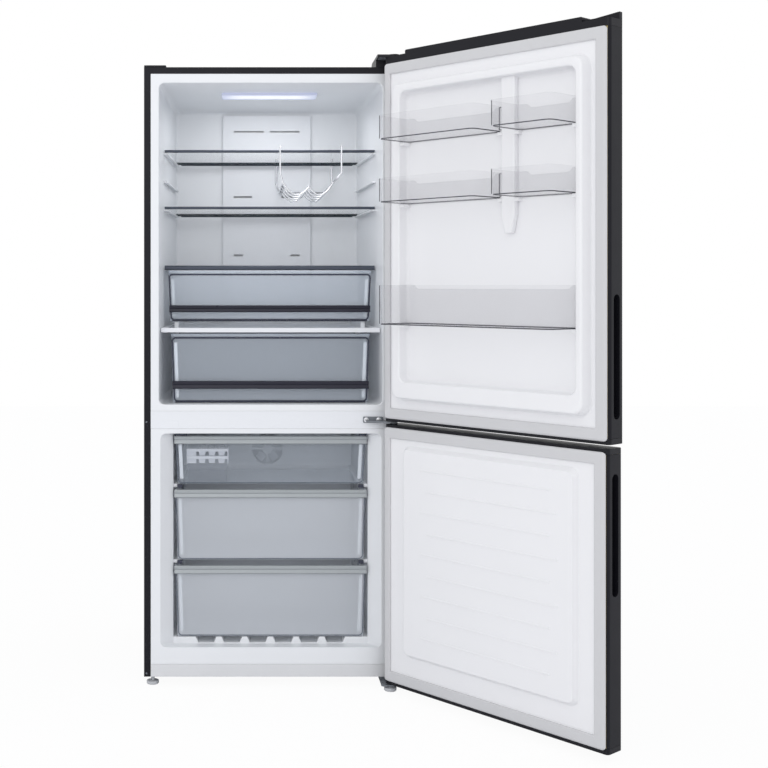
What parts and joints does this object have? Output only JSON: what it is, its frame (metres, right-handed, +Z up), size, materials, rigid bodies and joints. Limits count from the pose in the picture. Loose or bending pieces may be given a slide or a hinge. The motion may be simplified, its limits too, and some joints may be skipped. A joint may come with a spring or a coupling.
{
  "type": "bottom freezer refrigerator",
  "caption": "Bottom freezer refrigerator with hinged doors standing open, pull-out glass shelves, crispers, freezer drawers, lift-out door bins, an ice tray and a bottle rack.",
  "frame": {"origin": "centre of the bottom of the bounding box, on the floor, with both doors open as at rest", "axes": "+Z up, -Y towards the person who stands in front of the open cabinet, +X to the right as that person sees it; the doors are hung on the +X side of the cabinet"},
  "size_m": [1.1628, 1.2116, 1.749],
  "materials": {
    "black_steel": "black stainless look, smooth satin film",
    "black_plastic": "matt black moulding",
    "white_plastic": "white moulded sheet, soft gloss",
    "kick_plastic": "light grey",
    "foam": "rigid insulation foam",
    "zinc_steel": "zinc coated sheet",
    "grey_paint": "grey paint",
    "compressor_black": "black paint",
    "aluminium": "bare fins",
    "lamp": "diffusing white",
    "glass": "clear toughened glass",
    "dark_trim": "dark grey metallic",
    "chrome_wire": "bright wire",
    "clear_tub": "clear moulding",
    "navy_band": "dark blue grey",
    "satin_band": "satin silver",
    "grey_tub": "smoky clear moulding",
    "ice_white": "off white",
    "smoky_bin": "smoky clear moulding",
    "gasket_grey": "soft grey",
    "foot_grey": "light grey"
  },
  "bodies": {
    "cabinet": {"cabinet_shell": "black_steel", "back_panel": "zinc_steel", "cabinet_foam": "foam", "fridge_liner": "white_plastic", "freezer_liner": "white_plastic", "mullion_cover": "white_plastic", "kick_plate": "kick_plastic", "base_deck": "zinc_steel", "compressor": "compressor_black", "evaporator": "aluminium", "freezer_duct_cover": "white_plastic", "fridge_duct_cover": "white_plastic", "lamp_lens": "lamp", "crisper_cover_glass": "glass", "crisper_cover_trim": "dark_trim", "lower_crisper_cover": "white_plastic", "top_hinge": "grey_paint", "hinge_cover": "black_plastic", "corner_cap": "black_plastic", "middle_hinge": "grey_paint", "bottom_hinge": "grey_paint"},
    "upper_door": {"upper_door_skin": "black_steel", "upper_door_foam": "foam", "upper_door_top_cap": "black_plastic", "upper_door_bottom_cap": "black_plastic", "upper_door_liner": "white_plastic", "upper_door_gasket": "gasket_grey"},
    "lower_door": {"lower_door_skin": "black_steel", "lower_door_foam": "foam", "lower_door_top_cap": "black_plastic", "lower_door_bottom_cap": "black_plastic", "lower_door_liner": "white_plastic", "lower_door_gasket": "gasket_grey"},
    "upper_shelf": {"shelf_upper_glass": "glass", "shelf_upper_front_trim": "dark_trim", "shelf_upper_rear_trim": "dark_trim", "bottle_rack": "chrome_wire"},
    "lower_shelf": {"shelf_lower_glass": "glass", "shelf_lower_front_trim": "dark_trim", "shelf_lower_rear_trim": "dark_trim"},
    "upper_crisper": {"upper_crisper_tub": "clear_tub", "upper_crisper_grip": "navy_band"},
    "lower_crisper": {"lower_crisper_tub": "clear_tub", "lower_crisper_grip": "navy_band"},
    "freezer_drawer_1": {"freezer_drawer_1_tub": "grey_tub", "freezer_drawer_1_band": "satin_band", "ice_box": "grey_tub"},
    "freezer_drawer_2": {"freezer_drawer_2_tub": "grey_tub", "freezer_drawer_2_band": "satin_band"},
    "freezer_drawer_3": {"freezer_drawer_3_tub": "grey_tub", "freezer_drawer_3_band": "satin_band"},
    "ice_tray": {"ice_tray": "ice_white"},
    "bin_top_hinge_side": {"bin_top_hinge_side": "smoky_bin"},
    "bin_top_free_side": {"bin_top_free_side": "smoky_bin"},
    "bin_middle_hinge_side": {"bin_middle_hinge_side": "smoky_bin"},
    "bin_middle_free_side": {"bin_middle_free_side": "smoky_bin"},
    "bin_bottom": {"bin_bottom": "smoky_bin"},
    "evaporator_fan": {"evaporator_fan": "black_plastic"},
    "left_foot": {"left_foot": "foot_grey"},
    "right_foot": {"right_foot": "foot_grey"}
  },
  "joints": [
    {"name": "upper_door_hinge", "type": "hinge", "parent": "cabinet", "child": "upper_door", "pos_m": [0.10659, -0.05123, 0.737], "axis": [0, 0, 1], "range_deg": [-131, 4]},
    {"name": "lower_door_hinge", "type": "hinge", "parent": "cabinet", "child": "lower_door", "pos_m": [0.10659, -0.05123, 0.0193], "axis": [0, 0, 1], "range_deg": [-130.5, 4.5]},
    {"name": "upper_shelf_slide", "type": "slide", "parent": "cabinet", "child": "upper_shelf", "axis": [0, -1, 0], "range_m": [0, 0.24]},
    {"name": "lower_shelf_slide", "type": "slide", "parent": "cabinet", "child": "lower_shelf", "axis": [0, -1, 0], "range_m": [0, 0.24]},
    {"name": "upper_crisper_slide", "type": "slide", "parent": "cabinet", "child": "upper_crisper", "axis": [0, -1, 0], "range_m": [0, 0.25]},
    {"name": "lower_crisper_slide", "type": "slide", "parent": "cabinet", "child": "lower_crisper", "axis": [0, -1, 0], "range_m": [0, 0.3]},
    {"name": "freezer_drawer_1_slide", "type": "slide", "parent": "cabinet", "child": "freezer_drawer_1", "axis": [0, -1, 0], "range_m": [0, 0.3]},
    {"name": "freezer_drawer_2_slide", "type": "slide", "parent": "cabinet", "child": "freezer_drawer_2", "axis": [0, -1, 0], "range_m": [0, 0.3]},
    {"name": "freezer_drawer_3_slide", "type": "slide", "parent": "cabinet", "child": "freezer_drawer_3", "axis": [0, -1, 0], "range_m": [0, 0.28]},
    {"name": "ice_tray_lift", "type": "slide", "parent": "freezer_drawer_1", "child": "ice_tray", "axis": [0, 0, 1], "range_m": [0, 0.03]},
    {"name": "bin_top_hinge_side_lift", "type": "slide", "parent": "upper_door", "child": "bin_top_hinge_side", "axis": [0, 0, 1], "range_m": [0, 0.035]},
    {"name": "bin_top_free_side_lift", "type": "slide", "parent": "upper_door", "child": "bin_top_free_side", "axis": [0, 0, 1], "range_m": [0, 0.035]},
    {"name": "bin_middle_hinge_side_lift", "type": "slide", "parent": "upper_door", "child": "bin_middle_hinge_side", "axis": [0, 0, 1], "range_m": [0, 0.035]},
    {"name": "bin_middle_free_side_lift", "type": "slide", "parent": "upper_door", "child": "bin_middle_free_side", "axis": [0, 0, 1], "range_m": [0, 0.035]},
    {"name": "bin_bottom_lift", "type": "slide", "parent": "upper_door", "child": "bin_bottom", "axis": [0, 0, 1], "range_m": [0, 0.035]},
    {"name": "evaporator_fan_spin", "type": "hinge", "parent": "cabinet", "child": "evaporator_fan", "pos_m": [-0.23041, 0.43277, 0.6], "axis": [0, 1, 0], "continuous": true},
    {"name": "left_foot_turn", "type": "hinge", "parent": "cabinet", "child": "left_foot", "pos_m": [-0.55841, 0.00277, 0], "axis": [0, 0, 1], "continuous": true},
    {"name": "right_foot_turn", "type": "hinge", "parent": "cabinet", "child": "right_foot", "pos_m": [0.09559, -0.05923, 0], "axis": [0, 0, 1], "continuous": true}
  ]
}
